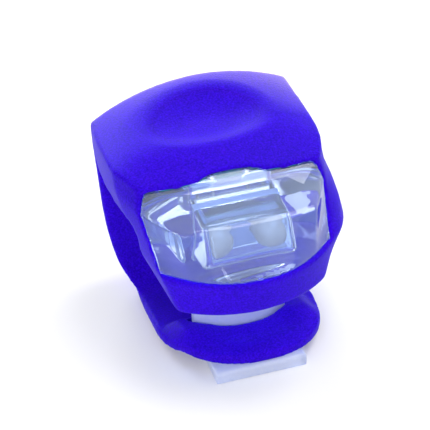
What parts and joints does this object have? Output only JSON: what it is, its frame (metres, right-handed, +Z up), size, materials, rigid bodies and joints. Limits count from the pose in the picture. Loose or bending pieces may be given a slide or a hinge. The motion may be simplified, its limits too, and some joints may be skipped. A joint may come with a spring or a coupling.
{
  "type": "bicycle light",
  "caption": "Strap-on bicycle light: silicone body over a clear capsule with light-emitting diodes, a thumb button and a strap that closes round the bar on a hook.",
  "frame": {"origin": "in the middle plane, on the flat underside of the hook, which is level with the surface that the light stands on", "axes": "+Z up, the lens looks along -Y, the bar passes along X"},
  "size_m": [0.0369, 0.0394, 0.0368],
  "materials": {
    "silicone": "matte blue-violet silicone",
    "clear_plastic": "clear moulded plastic",
    "board": "green solder mask",
    "led_epoxy": "water-clear epoxy",
    "grey_plastic": "grey moulded plastic",
    "black_plastic": "black moulded plastic",
    "tan_ceramic": "fired ceramic",
    "cell_steel": "plated steel",
    "contact_brass": "thin sprung sheet",
    "tinned_steel": "tinned"
  },
  "bodies": {
    "light": {"silicone_hood": "silicone", "clear_housing": "clear_plastic", "battery_cover": "clear_plastic", "circuit_board": "board", "led_left": "led_epoxy", "led_right": "led_epoxy", "led_leads": "tinned_steel", "led_holder": "grey_plastic", "controller_chip": "black_plastic", "resistors": "black_plastic", "capacitor": "tan_ceramic", "cell_1_can": "cell_steel", "cell_1_cap": "cell_steel", "cell_1_gasket": "black_plastic", "cell_2_can": "cell_steel", "cell_2_cap": "cell_steel", "cell_2_gasket": "black_plastic", "contact_negative": "contact_brass", "contact_positive": "contact_brass", "switch_base": "black_plastic", "switch_cover": "tinned_steel", "switch_disc": "tinned_steel"},
    "button": {"press_pad": "silicone"},
    "stem": {"switch_stem": "black_plastic"},
    "strap": {"silicone_strap": "silicone"}
  },
  "joints": [
    {"name": "button_press", "type": "slide", "parent": "light", "child": "button", "axis": [0, 0, -1], "range_m": [0, 0.0005], "stiffness_N_per_m": 3000},
    {"name": "stem_press", "type": "slide", "parent": "light", "child": "stem", "axis": [0, 0, -1], "range_m": [0, 0.00025]},
    {"name": "strap_open", "type": "hinge", "parent": "light", "child": "strap", "pos_m": [0, 0.03305, 0.0261], "axis": [1, 0, 0], "range_deg": [0, 95], "stiffness_Nm_per_rad": 0.02, "deforming": ["silicone_strap"]}
  ],
  "couplings": [
    {"joint": "stem_press", "follows": "button_press", "ratio": 0.5}
  ]
}
